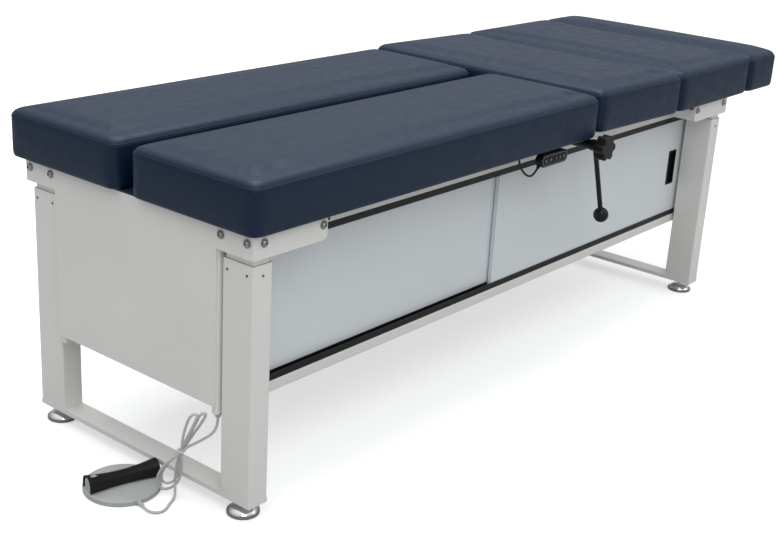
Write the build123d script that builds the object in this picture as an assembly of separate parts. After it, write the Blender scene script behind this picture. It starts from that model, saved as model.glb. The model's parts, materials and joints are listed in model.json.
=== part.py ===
"""Electric height-adjustable chiropractic table with a drop section and a storage cabinet.

Work frame, in millimetres: X runs along the table from the outer face of the foot-end legs,
Y runs back from the outer face of the front legs, Z is up and the floor is 0. Each part is
moved by one offset when it is saved, so that the origin is the centre of the footprint on
the floor.
"""
from build123d import *
import math
import os

os.makedirs("parts", exist_ok=True)

# Legs and base bars
leg_span = 1850.0          # outer faces of the legs, along the table
leg_spread = 650.0         # outer faces of the legs, across the table
leg_x = 50.0               # leg section along the table
leg_y = 80.0               # leg section across the table
leg_wall = 2.5
leg_corner = 4.0
leg_top = 527.0            # top of the fixed outer legs
bar_bottom = 30.0
bar_thick = 10.0
glide_thick = 1.3          # plastic guide between the two leg tubes
glide_clear = 0.2
glide_tall = 30.0
inner_wall = 2.5
inner_corner = 3.0
inner_bottom = 78.0
plug_tall = 30.0           # tapped block in the bottom of each leg
plug_corner = 3.0

# Levelling feet
foot_r = 33.0
foot_pad_tall = 7.0
foot_dome_tall = 11.0
foot_neck_r = 10.0
stud_r = 6.0
stud_clear = 0.08
stud_top = 66.0

# Hydraulic cylinders inside the legs
rod_r = 6.0
piston_r = 11.9
piston_tall = 18.0
bore_r = 12.0
barrel_r = 15.0
barrel_bottom = 160.0
barrel_cap = 14.0
barrel_head = 8.0
rod_clear = 0.08
piston_top = 530.0

# Moving top frame
frame_bottom = 546.0
frame_top = 588.0
proud = 10.0               # how far the top frame stands outside the legs
sheet = 4.0                # folded steel of the end panels
end_tube_wide = 60.0
tube_wall = 2.5
tube_corner = 4.0
rail_gap = 5.0             # from the inside of a leg to the side rail
rail_wide = 25.0
rail_bottom = 528.0
cross_wide = 30.0
shaft_member_set = 46.0    # cross member on the foot side of the cocking shaft
hinge_member_set = 6.0     # cross member on the head side of the hinge axis
wing_long = 194.0          # side wing of an end panel
wing_corner = 12.0
wing_bolt_near = 26.0      # from the outer end of the wing
wing_bolt_far = 182.0
band_drop = 3.0            # how far the end band reaches below the frame tubes
bolt_down = 14.0           # bolt line below the frame top
bolt_pitch = 68.0          # the pair of bolts at each leg, on the end face
bolt_inset = 16.5          # from the side of the frame to the first end bolt
bolt_head_r = 6.5
bolt_head_tall = 4.5
bolt_washer_r = 9.0
bolt_washer_thick = 1.5
bolt_socket_r = 3.2

# Cabinet under the top frame
cabinet_bottom = 205.0
post_x = 25.0
post_y = 16.0
post_corner = 5.0
rail_tall = 25.0
panel_bottom = 222.0
panel_side = 2.0           # end panel stops this far inside the post face
floor_thick = 4.0
hem_deep = 16.0
back_thick = 3.0
track_lip = 2.0
track_floor = 3.0
track_tall = 14.0
groove = 11.0
track_set = 1.0            # track face behind the rail face
door_thick = 10.0
door_overlap = 63.0        # how far the closed doors cover each other
door_gap = 0.3             # under the door
door_in_top = 8.0          # how far the door reaches into the top track
door_end_gap = 0.5
door_corner = 2.0
pull_wide = 42.0
pull_tall = 100.0
pull_flange = 1.2
pull_rim = 4.0
pull_deep = 8.0
pull_wall = 1.2
pull_corner = 3.0
pull_clear = 0.2
pull_from_end = 68.5

# Decks and pads
deck_thick = 4.0
deck_inset = 2.0
deck_corner = 8.0
pad_side_tall = 90.0            # height of the pad's side up to the seam
pad_crown = 16.0
pad_crown_run = 40.0       # how far in from the side the low crown starts
pad_corner = 22.0
pad_hem = 5.0
pad_over = 31.0            # pads stand this far outside the front legs
pad_over_back = 37.0
pad_break = 5.0            # between neighbouring pads along the table
drop_pad_long = 404.0
chest_pad_long = 403.0
head_pad_long = 164.0
head_pad_lower = 5.0       # the head pad is this much thinner
leg_pad_space = 44.0       # between the two leg pads
deck_foot_short = 27.0     # the foot deck stops this far inside the leg pads
deck_head_gap = 7.0        # from the hinge axis to the head deck
deck_head_short = 20.0
arm_wide = 30.0
arm_short = 45.0           # the head arms stop this far inside the head pad
arm_y = 135.0              # middle of the front head arm
spacer_long = 8.0
spacer_deep = 20.0
spacer_tall = 10.0

# Drop section
drop_plate_thick = 3.5
drop_plate_front = 2.0     # from the pad's free end to the plate
drop_plate_back = 9.0
drop_plate_side = 60.0
drop_rise = 8.0            # how far the free edge is lifted when it is cocked
hinge_from_head = 316.0    # hinge axis from the outer face of the head legs
hinge_drop = 4.0           # hinge axis below the frame top
hinge_knuckle_r = 3.6
hinge_pin_r = 1.8
hinge_clear = 0.08
hinge_leaf = 2.0
hinge_leaf_deep = 28.0
hinge_side = 140.0         # from the outer face of a leg to the end of the hinge
hinge_knuckles = 7
hinge_knuckle_gap = 0.5

# Cocking lever and tension knob
shaft_from_hinge = 418.0
shaft_r = 8.0
shaft_clear = 0.06
crank_long = 20.0
crank_deg = 55.0           # crank above the horizontal when the section is cocked
crank_roller_r = 6.0
crank_hub_r = 13.0
crank_thick = 8.0
crank_pin_r = 2.5
crank_pin_long = 14.0
roller_long = 12.0
roller_set = 0.5           # from the crank to the roller
roller_clear = 0.06
crank_clear = 0.8          # between the roller and the drop plate
crank_inside = 12.0        # from the side rail to the crank
bearing_r = 12.0
bearing_flange_r = 18.0
bearing_flange = 5.0
sleeve_front = -16.0
hub_front = -36.0
hub_thick = 18.0
hub_r = 14.0
shaft_in_hub = 4.0         # from the front of the hub to the end of the shaft
shaft_past = 3.0           # shaft behind the rear bearing
hub_shaft_clear = 0.04
hub_stud_clear = 0.06
lever_tilt_deg = 19.5
lever_long = 200.0
lever_rod_r = 6.0
lever_end_gap = 4.0
ball_r = 19.0
ball_clear = 0.05
tension_stud_r = 4.0
tension_stud_in = 3.0      # how far the knob's stud reaches into the hub
knob_back = -42.0
knob_thick = 24.0
knob_boss = 5.0
knob_boss_r = 13.0
knob_lobes = 6
knob_core_r = 24.0
knob_lobe_r = 9.5
knob_lobe_offset = 22.0
knob_round = 2.5
knob_hollow_r = 4.0        # round between two lobes

# Handset and its bracket
handset_from_shaft = 151.0
handset_long = 112.0
handset_tall = 31.0
handset_deep = 20.0
handset_front = -12.0
handset_down = 24.0        # centre below the frame top
handset_round = 3.0
bracket_sheet = 3.0
bracket_wide = 40.0
bracket_tab = 26.0
bracket_down = 3.0         # below the frame top
stub_r = 4.0
stub_reach = 22.0          # from the middle of the handset's round end to the stub tip
grommet_r = 6.0
grommet_tall = 5.0
grommet_clear = 0.3
grommet_set = 112.0        # hole of the handset cord, on the foot side of the handset
grommet_back = 16.0        # behind the middle of the handset
button_proud = 1.0
button_thick = 3.8
button_clear = 0.3
pocket_deep = 4.2
button_places = (-38.0, -18.0, 3.0, 20.0, 37.0)
button_sizes = (7.0, 7.0, 5.5, 5.5, 5.5)
button_names = ("up", "down", "preset_one", "preset_two", "preset_three")

# Power unit, control box and mains inlet
pump_x = 520.0             # from the outer face of the foot-end legs
pump_long = 70.0
pump_wide = 60.0
pump_tall = 76.0
pump_round = 4.0
drum_round = 6.0           # outer edge of the motor and the tank
motor_r = 34.0
motor_long = 110.0
tank_r = 30.0
tank_long = 90.0
control_long = 140.0
control_wide = 210.0
control_tall = 52.0
control_round = 6.0
trunk_wide = 16.0
trunk_tall = 14.0
trunk_wall = 1.5
trunk_round = 2.0
trunk_drop = 2.0           # below the underside of the frame tubes
trunk_short = 20.0         # from the middle of the control box to the trunking
line_r = 4.0
line_bend = 24.0
line_nut_r = 8.0
line_nut = 12.0
line_side = 40.0           # oil line inside the side rail
line_lead = 50.0           # straight start of an oil line at the pump
line_spread = 110.0        # where the line has reached its place under the rail
line_rise_start = 86.0     # where it starts to rise, from the end tube
line_rise_end = 46.0
line_z = 537.0
line_end_z = 567.0
port_z = 505.0
port_apart = 30.0
inlet_wide = 50.0
inlet_cut_wide = 40.0
inlet_cut_tall = 22.0
inlet_clear = 0.2
inlet_tall = 28.0
inlet_flange = 3.0
inlet_deep = 22.0
inlet_socket_wide = 24.0
inlet_socket_tall = 17.0
inlet_socket_deep = 15.0
inlet_z = 480.0

# Foot switch on the floor
switch_x = -81.0
switch_off_middle = 48.0   # towards the front
switch_r = 78.0
switch_thick = 12.0
switch_edge = 3.0
switch_turn_deg = -15.0
cheek_thick = 5.0
cheek_inner = 68.0
cheek_half = 13.0
pivot_z = 28.0
pivot_r = 3.0
pivot_clear = 0.08
rocker_end_r = 19.0
rocker_waist_r = 12.0
rocker_wall = 2.5
rocker_bottom = 15.0
rocker_half = 75.0
web_at = 62.0
web_thick = 3.0
web_half = 15.5
web_bottom = 20.0
rib_thick = 4.0
micro_x = 42.0
micro_y = 5.0
micro_long = 20.0
micro_wide = 6.0
micro_tall = 9.0
plunger_r = 1.5
plunger_tall = 1.6
relief_turn_deg = -105.0
relief_flat = 80.0
relief_long = 16.0
relief_r = 5.0
relief_tip_r = 3.6
relief_z = 6.5
relief_boss_wide = 14.0
relief_boss_tall = 11.0

# Foot switch cord
cord_r = 2.75
gland_x = 5.0
gland_nut_r = 7.5
gland_nut = 5.0
gland_dome_r = 5.0
gland_dome = 5.0
gland_gap = 0.3
hank_out = 30.0            # tie of the hank, outside the foot-end legs
hank_back = 73.0           # tie of the hank, behind the cabinet front
hank_tie_z = 110.0
hank_up = Vector(0.0475, -0.4276, 0.9026)
hank_right = Vector(0.624, -0.781, 0.0)
hank_low = -88.0
hank_low_r = 25.0
hank_high = 98.0
hank_high_r = 11.0
hank_waist_r = 5.5
hank_thick = 12.0
handset_cord_r = 2.5

# Places worked out from the sizes above
bar_top = bar_bottom + bar_thick
inner_x = leg_x - 2 * (leg_wall + glide_thick + glide_clear)
inner_y = leg_y - 2 * (leg_wall + glide_thick + glide_clear)
mid_y = leg_spread / 2
front_face = leg_y + rail_gap
inset = proud - sheet
band_bottom = frame_bottom - band_drop
deck_top = frame_top + deck_thick
bolt_z = frame_top - bolt_down
post_inner = -inset + post_x
track_y = front_face + track_set
track_deep = 3 * track_lip + 2 * groove
bottom_track_z = cabinet_bottom + rail_tall
top_track_z = rail_bottom - track_tall
door_bottom = bottom_track_z + track_floor + door_gap
door_top = top_track_z + door_in_top
door_play = (groove - door_thick) / 2
door_front_y = track_y + track_lip + door_play
door_rear_y = door_front_y + door_thick + 2 * door_play + track_lip
door_long = (leg_span - 2 * post_inner - 2 * door_end_gap + door_overlap) / 2
hinge_x = leg_span - hinge_from_head
hinge_z = frame_top - hinge_drop
hinge_long = leg_spread - 2 * hinge_side
drop_pad_end = hinge_x - pad_break
drop_pad_start = drop_pad_end - drop_pad_long
leg_pad_end = drop_pad_start - pad_break
chest_pad_end = hinge_x + chest_pad_long
head_pad_start = chest_pad_end + pad_break
head_pad_end = head_pad_start + head_pad_long
shaft_x = hinge_x - shaft_from_hinge
handset_x = shaft_x - handset_from_shaft
switch_y = mid_y - switch_off_middle
hank_tie = Vector(-hank_out, front_face + hank_back, hank_tie_z)
pads_back = leg_spread + pad_over_back
cocked_deg = math.degrees(math.asin(drop_rise / (hinge_x - drop_pad_start)))
roller_x = shaft_x + crank_long * math.cos(math.radians(crank_deg))
plate_low = deck_top - drop_plate_thick
plate_low_cocked = plate_low + (hinge_x - roller_x) * math.sin(math.radians(cocked_deg))
shaft_z = (plate_low_cocked - crank_clear - crank_roller_r
           - crank_long * math.sin(math.radians(crank_deg)))
knob_front = knob_back - knob_thick
handset_z = frame_top - handset_down
low_x = switch_x - switch_r
origin_shift = Vector(-(low_x + head_pad_end) / 2, -(knob_front + pads_back) / 2, 0)
leg_centres = {
    "foot_front": (leg_x / 2, leg_y / 2),
    "foot_back": (leg_x / 2, leg_spread - leg_y / 2),
    "head_front": (leg_span - leg_x / 2, leg_y / 2),
    "head_back": (leg_span - leg_x / 2, leg_spread - leg_y / 2),
}


def along_x(profile, x0, x1, y, z):
    """Extrude a profile, its width on Y and its height on Z, from x0 to x1."""
    plane = Plane((x0, y, z), x_dir=(0, 1, 0), z_dir=(1, 0, 0))
    return extrude(plane * profile, x1 - x0)


def along_y(profile, y0, y1, x, z):
    """Extrude a profile, its width on X and its height on Z, from y1 forward to y0."""
    plane = Plane((x, y1, z), x_dir=(1, 0, 0), z_dir=(0, -1, 0))
    return extrude(plane * profile, y1 - y0)


def along_z(profile, z0, z1, x, y):
    """Extrude a profile, its width on X and its depth on Y, from z0 up to z1."""
    return extrude(Pos(x, y, z0) * profile, z1 - z0)


def hollow(width, height, wall, corner):
    """Section of a rectangular tube."""
    inside = RectangleRounded(width - 2 * wall, height - 2 * wall, max(corner - wall, 0.5))
    return RectangleRounded(width, height, corner) - inside


def span(x0, x1, y0, y1, z0, z1):
    """Plain block between two corners."""
    return Pos((x0 + x1) / 2, (y0 + y1) / 2, (z0 + z1) / 2) * Box(x1 - x0, y1 - y0, z1 - z0)


def other_side(shape):
    """The same piece on the back side of the table."""
    return mirror(shape, about=Plane((0, mid_y, 0), z_dir=(0, 1, 0)))


def other_end(shape):
    """The same piece at the head end of the table."""
    return mirror(shape, about=Plane((leg_span / 2, 0, 0), z_dir=(1, 0, 0)))


def hull(first, second):
    """Outline drawn round two flat shapes."""
    return make_hull(first.edges() + second.edges())


def save(name, *shapes):
    """Move the shapes into the table's own frame and write them as one node."""
    solids = []
    for shape in shapes:
        solids.extend(shape.solids())
    moved = [Pos(origin_shift) * solid for solid in solids]
    export_step(Compound(children=moved) if len(moved) > 1 else moved[0], f"parts/{name}.step")


def route(points, smallest):
    """Path of straight runs and tangent arcs, each arc as large as its two runs allow."""
    corners = [Vector(*p) for p in points]
    radii = []
    for before, here, after in zip(corners, corners[1:], corners[2:]):
        turn = (here - before).get_angle(after - here)
        run = min((here - before).length, (after - here).length)
        radii.append(0.45 * run / math.tan(math.radians(turn / 2)))
    print("  arc radii", [round(r, 1) for r in radii])
    if min(radii) < smallest:
        print("  tighter than", smallest)
    return FilletPolyline(*corners, radius=radii)


def hose(points, radius, smallest):
    """Round tube along a route, with its length printed beside its volume."""
    path = route(points, smallest)
    section = Plane(origin=path @ 0, z_dir=path % 0) * Circle(radius)
    tube = sweep(section, path=path)
    ratio = tube.volume / (math.pi * radius ** 2 * path.length)
    print("  length", round(path.length, 1), "volume over section by length", round(ratio, 4))
    return tube


def base_frame():
    """Two flat bars, four outer leg tubes, their tapped blocks and their guides."""
    bar = along_y(Rectangle(leg_x, bar_thick), 0, leg_spread, leg_x / 2, bar_bottom + bar_thick / 2)
    for x, y in (leg_centres["foot_front"], leg_centres["foot_back"]):
        bar -= along_z(Circle(stud_r + stud_clear), 0, bar_top, x, y)
    plug_section = RectangleRounded(leg_x - 2 * leg_wall, leg_y - 2 * leg_wall, plug_corner)
    guide_section = plug_section - RectangleRounded(
        inner_x + 2 * glide_clear, inner_y + 2 * glide_clear, inner_corner)
    legs = []
    blocks = []
    guides = []
    for x, y in leg_centres.values():
        legs.append(along_z(hollow(leg_x, leg_y, leg_wall, leg_corner), bar_top, leg_top, x, y))
        block = along_z(plug_section, bar_top, bar_top + plug_tall, x, y)
        blocks.append(block - along_z(Circle(stud_r + stud_clear), bar_top, stud_top + 2, x, y))
        guides.append(along_z(guide_section, leg_top - glide_tall, leg_top, x, y))
    save("base_bars", bar, other_end(bar), *blocks)
    save("outer_legs", *legs)
    save("leg_guides", *guides)


def levelling_feet():
    """Grey pad, bright dome and threaded stud, one foot for each leg."""
    dome_top = foot_pad_tall + foot_dome_tall
    for name, (x, y) in leg_centres.items():
        pad = Pos(x, y, foot_pad_tall / 2) * Cylinder(foot_r, foot_pad_tall)
        pad = fillet(pad.edges().filter_by(GeomType.CIRCLE), 2.0)
        with BuildSketch(Plane.XZ) as half:
            with BuildLine():
                side = Line((0, foot_pad_tall), (foot_r - 3, foot_pad_tall))
                crown = ThreePointArc(side @ 1, (0.72 * foot_r, foot_pad_tall + 0.62 * foot_dome_tall),
                                      (foot_neck_r, dome_top))
                Polyline(crown @ 1, (stud_r, dome_top), (stud_r, stud_top), (0, stud_top), side @ 0)
            make_face()
        dome = Pos(x, y, 0) * revolve(half.sketch, Axis.Z)
        save(f"levelling_foot_{name}", pad, dome)


def lift_columns():
    """Inner leg tubes with the hydraulic barrels on the lift and the rods on the base."""
    tubes = []
    barrels = []
    rods = []
    for x, y in leg_centres.values():
        tubes.append(along_z(hollow(inner_x, inner_y, inner_wall, inner_corner),
                             inner_bottom, frame_bottom, x, y))
        barrel = along_z(Circle(barrel_r), barrel_bottom, frame_bottom, x, y)
        barrel -= along_z(Circle(bore_r), barrel_bottom + barrel_cap, frame_bottom - barrel_head, x, y)
        barrel -= along_z(Circle(rod_r + rod_clear), barrel_bottom, barrel_bottom + barrel_cap, x, y)
        barrels.append(barrel)
        rod = along_z(Circle(rod_r), bar_top + plug_tall, piston_top, x, y)
        rods.append(rod + along_z(Circle(piston_r), piston_top - piston_tall, piston_top, x, y))
    save("inner_legs", *tubes)
    save("cylinder_barrels", *barrels)
    save("cylinder_rods", *rods)


def top_frame():
    """Welded rectangle of tubes that carries the pads and the cabinet."""
    tall = frame_top - frame_bottom
    mid_z = (frame_top + frame_bottom) / 2
    end_tube = along_y(hollow(end_tube_wide, tall, tube_wall, tube_corner),
                       -inset, leg_spread + inset, end_tube_wide / 2 - inset, mid_z)
    rail_start = end_tube_wide - inset
    rail = along_x(hollow(rail_wide, frame_top - rail_bottom, tube_wall, tube_corner),
                   rail_start, leg_span - rail_start, front_face + rail_wide / 2,
                   (frame_top + rail_bottom) / 2)
    rail -= along_y(Circle(bearing_r + shaft_clear), front_face - 1, front_face + rail_wide + 1,
                    shaft_x, shaft_z)
    outrigger_x = wing_bolt_far - proud
    member = hollow(cross_wide, tall, tube_wall, tube_corner)
    places = [outrigger_x, pump_x, shaft_x - shaft_member_set,
              hinge_x + hinge_member_set + cross_wide / 2, leg_span - outrigger_x]
    members = [along_y(member, front_face + rail_wide, leg_spread - front_face - rail_wide, x, mid_z)
               for x in places]
    for x in (places[0], places[-1]):
        arm = along_y(member, -inset, front_face, x, mid_z)
        members += [arm, other_side(arm)]
    save("top_frame", end_tube, other_end(end_tube), rail, other_side(rail), *members)


def end_panel():
    """Folded end sheet: a band with side wings, and the cabinet end hanging from its middle."""
    width = leg_spread + 2 * proud
    face_x = -inset - sheet / 2
    band = along_x(Rectangle(width, frame_top - band_bottom), -proud, -inset,
                   mid_y, (frame_top + band_bottom) / 2)
    y0 = front_face + panel_side
    skirt = span(-proud, -inset, y0, leg_spread - y0, panel_bottom, band_bottom)
    hem_y = front_face + post_y
    hem = span(-inset, hem_deep - inset, hem_y, leg_spread - hem_y, panel_bottom,
               panel_bottom + sheet)
    wing = span(face_x - sheet / 2, wing_long - proud, -proud, -inset, band_bottom, frame_top)
    tip = wing.edges().filter_by(Axis.Y).group_by(Axis.X)[-1].sort_by(Axis.Z)[0]
    wing = fillet(tip, wing_corner)
    panel = band + skirt + hem + wing + other_side(wing)
    bends = panel.edges().filter_by(Axis.Z).group_by(Axis.X)[0]
    outer = [e for e in bends if abs(abs(e.center().Y - mid_y) - width / 2) < 0.01]
    return fillet(outer, sheet)


def panels():
    """The two end panels; the head one has the cut-out for the mains inlet."""
    panel = end_panel()
    save("end_panel_foot", panel)
    head = other_end(panel)
    cut = along_x(Rectangle(inlet_cut_wide, inlet_cut_tall), leg_span, leg_span + 2 * proud,
                  mid_y, inlet_z)
    save("end_panel_head", head - cut)
    x0 = leg_span + inset
    body = RectangleRounded(inlet_cut_wide - 2 * inlet_clear, inlet_cut_tall - 2 * inlet_clear, 2)
    body = along_x(body, x0 - inlet_deep, leg_span + proud, mid_y, inlet_z)
    flange = along_x(RectangleRounded(inlet_wide, inlet_tall, 5), leg_span + proud,
                     leg_span + proud + inlet_flange, mid_y, inlet_z)
    socket = along_x(RectangleRounded(inlet_socket_wide, inlet_socket_tall, 3),
                     leg_span + proud + inlet_flange - inlet_socket_deep,
                     leg_span + proud + inlet_flange, mid_y, inlet_z)
    save("mains_inlet", body + flange - socket)


def frame_bolts():
    """Button-head bolts with washers through the band and the wings."""
    def bolt():
        washer = Pos(0, 0, bolt_washer_thick / 2) * Cylinder(bolt_washer_r, bolt_washer_thick)
        head = Pos(0, 0, bolt_washer_thick + bolt_head_tall / 2) * Cylinder(bolt_head_r, bolt_head_tall)
        head = chamfer(head.edges().group_by(Axis.Z)[-1], 2.5, 2.5)
        socket = extrude(Pos(0, 0, bolt_washer_thick + 2) * RegularPolygon(bolt_socket_r, 6), 5)
        return washer + head - socket
    wanted = []
    first = bolt_inset - proud
    for y in (first, first + bolt_pitch):
        for at_y in (y, leg_spread - y):
            wanted.append(Plane((-proud, at_y, bolt_z), z_dir=(-1, 0, 0)))
            wanted.append(Plane((leg_span + proud, at_y, bolt_z), z_dir=(1, 0, 0)))
    for x in (wing_bolt_near - proud, wing_bolt_far - proud):
        for at_x in (x, leg_span - x):
            wanted.append(Plane((at_x, -proud, bolt_z), z_dir=(0, -1, 0)))
            wanted.append(Plane((at_x, leg_spread + proud, bolt_z), z_dir=(0, 1, 0)))
    save("frame_bolts", *[plane * bolt() for plane in wanted])


def cabinet():
    """Corner posts, bottom rails, floor, back panel and the two door tracks."""
    post = along_z(hollow(post_x, post_y, tube_wall, post_corner), cabinet_bottom, frame_bottom,
                   post_x / 2 - inset, front_face + post_y / 2)
    rail = along_x(hollow(post_y, rail_tall, tube_wall, tube_corner), post_inner,
                   leg_span - post_inner, front_face + post_y / 2, cabinet_bottom + rail_tall / 2)
    pieces = [post, other_side(post), other_end(post), other_end(other_side(post)),
              rail, other_side(rail)]
    save("cabinet_tubes", *pieces)
    floor_top = cabinet_bottom + rail_tall
    y0 = front_face + post_y
    save("cabinet_floor", span(-inset, leg_span + inset, y0, leg_spread - y0,
                               floor_top - floor_thick, floor_top))
    back_y = leg_spread - front_face - post_y / 2
    save("cabinet_back", span(post_inner, leg_span - post_inner, back_y - back_thick / 2,
                              back_y + back_thick / 2, floor_top, rail_bottom))
    with BuildSketch() as comb:
        Rectangle(track_deep, track_floor, align=(Align.MIN, Align.MIN))
        with Locations([(i * (track_lip + groove), 0) for i in range(3)]):
            Rectangle(track_lip, track_tall, align=(Align.MIN, Align.MIN))
    lower = along_x(comb.sketch, post_inner, leg_span - post_inner, track_y, bottom_track_z)
    upside = mirror(comb.sketch, about=Plane.XZ)
    save("door_tracks", lower,
         along_x(upside, post_inner, leg_span - post_inner, track_y, rail_bottom))


def doors():
    """Two sliding doors on separate grooves, each with a flush finger pull."""
    mid_z = (door_bottom + door_top) / 2
    start = post_inner + door_end_gap
    layout = {
        "left": (start, start + pull_from_end, door_rear_y),
        "right": (leg_span - start - door_long, leg_span - start - pull_from_end, door_front_y),
    }
    inner_wide = pull_wide - 2 * pull_rim
    inner_tall = pull_tall - 2 * pull_rim
    for side, (x0, pull_x, y0) in layout.items():
        slab = along_y(RectangleRounded(door_long, door_top - door_bottom, door_corner),
                       y0, y0 + door_thick, x0 + door_long / 2, mid_z)
        recess = along_y(RectangleRounded(inner_wide + 2 * pull_wall + 2 * pull_clear,
                                          inner_tall + 2 * pull_wall + 2 * pull_clear,
                                          pull_corner + 1.0),
                         y0 - 1, y0 + pull_deep + pull_wall, pull_x, mid_z)
        save(f"door_{side}", slab - recess)
        flange = along_y(RectangleRounded(pull_wide, pull_tall, pull_corner), y0 - pull_flange,
                         y0, pull_x, mid_z)
        cup = along_y(RectangleRounded(inner_wide + 2 * pull_wall, inner_tall + 2 * pull_wall,
                                       pull_corner + 0.5),
                      y0, y0 + pull_deep + pull_wall, pull_x, mid_z)
        dish = along_y(RectangleRounded(inner_wide, inner_tall, pull_corner), y0 - pull_flange,
                       y0 + pull_deep, pull_x, mid_z)
        save(f"door_pull_{side}", flange + cup - dish)


def cushion(x0, x1, y0, y1, side_tall):
    """Padded block with rounded corners, a turned-under hem and a low crown."""
    seam_z = deck_top + side_tall
    levels = [(0, 0), (0.3 * pad_crown_run, 0.62 * pad_crown), (pad_crown_run, pad_crown)]
    sections = [Pos((x0 + x1) / 2, (y0 + y1) / 2, seam_z + rise)
                * RectangleRounded(x1 - x0 - 2 * inset, y1 - y0 - 2 * inset, pad_corner)
                for inset, rise in levels]
    side = extrude(sections[0], -side_tall)
    side = fillet(side.edges().group_by(Axis.Z)[0], pad_hem)
    return side + loft(sections, ruled=True)


def decks_and_pads():
    """Flat decks, the two head arms and the four pads that stay level."""
    front = -pad_over
    edge = deck_inset - proud
    leg_pad_wide = (pads_back - front - leg_pad_space) / 2
    deck_foot_end = leg_pad_end - deck_foot_short
    deck_head_start = hinge_x + deck_head_gap
    deck_head_end = head_pad_end - deck_head_short
    deck = RectangleRounded(deck_foot_end + proud, leg_spread - 2 * edge, deck_corner)
    save("deck_foot", along_z(deck, frame_top, deck_top, (deck_foot_end - proud) / 2, mid_y))
    deck = RectangleRounded(deck_head_end - deck_head_start, leg_spread - 2 * proud, deck_corner)
    save("deck_head", along_z(deck, frame_top, deck_top, (deck_head_start + deck_head_end) / 2, mid_y))
    arm = along_x(hollow(arm_wide, arm_wide, tube_wall, tube_corner), leg_span + proud,
                  head_pad_end - arm_short, arm_y, frame_top - arm_wide / 2)
    save("head_arms", arm, other_side(arm))
    block_x = wing_bolt_far - proud + cross_wide / 2
    block = fillet(span(block_x, block_x + spacer_long, -inset, spacer_deep - inset,
                        frame_top - spacer_tall, frame_top)
                   .edges().filter_by(Axis.Z), 1.5)
    save("wing_spacers", block, other_side(block), other_end(block), other_end(other_side(block)))
    near = cushion(front, leg_pad_end, front, front + leg_pad_wide, pad_side_tall)
    save("leg_pad_front", near)
    save("leg_pad_back", Pos(0, leg_pad_wide + leg_pad_space, 0) * near)
    save("chest_pad", cushion(hinge_x, chest_pad_end, front, pads_back, pad_side_tall))
    save("head_pad", cushion(head_pad_start, head_pad_end, front, pads_back,
                             pad_side_tall - head_pad_lower))


def drop_section():
    """Hinged pad and plate, built level and then turned up to the cocked position."""
    axis = Axis((hinge_x, 0, hinge_z), (0, 1, 0))
    drop_plate_start = drop_pad_start + drop_plate_front
    drop_plate_end = drop_pad_end - drop_plate_back
    plate = RectangleRounded(drop_plate_end - drop_plate_start,
                             leg_spread - 2 * drop_plate_side, deck_corner)
    plate = along_z(plate, plate_low, deck_top, (drop_plate_start + drop_plate_end) / 2, mid_y)
    pad = cushion(drop_pad_start, drop_pad_end, -pad_over, pads_back, pad_side_tall)
    step = hinge_long / hinge_knuckles
    y0 = mid_y - hinge_long / 2
    knuckle = Circle(hinge_knuckle_r) - Circle(hinge_pin_r + hinge_clear)
    leaf_end = hinge_x - hinge_knuckle_r - hinge_knuckle_gap
    moving = span(drop_plate_end - hinge_leaf_deep, leaf_end, y0, y0 + hinge_long,
                  plate_low - hinge_leaf, plate_low)
    member_x = hinge_x + hinge_member_set
    fixed = span(member_x - hinge_leaf, member_x, y0, y0 + hinge_long,
                 hinge_z - hinge_leaf_deep, hinge_z)
    for i in range(hinge_knuckles):
        low = y0 + i * step + hinge_knuckle_gap / 2
        high = low + step - hinge_knuckle_gap
        ring = along_y(knuckle, low, high, hinge_x, hinge_z)
        if i % 2:
            tab = span(leaf_end - 1, hinge_x, low, high, plate_low - hinge_leaf, plate_low)
            moving += tab + ring
        else:
            tab = span(hinge_x + hinge_knuckle_r - 1, member_x, low, high,
                       hinge_z - hinge_leaf, hinge_z)
            fixed += tab + ring
    save("drop_pad", pad.rotate(axis, cocked_deg))
    save("drop_plate", plate.rotate(axis, cocked_deg))
    save("drop_hinge_leaf", moving.rotate(axis, cocked_deg))
    save("frame_hinge_leaf", fixed,
         along_y(Circle(hinge_pin_r), y0, y0 + hinge_long, hinge_x, hinge_z))


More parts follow.
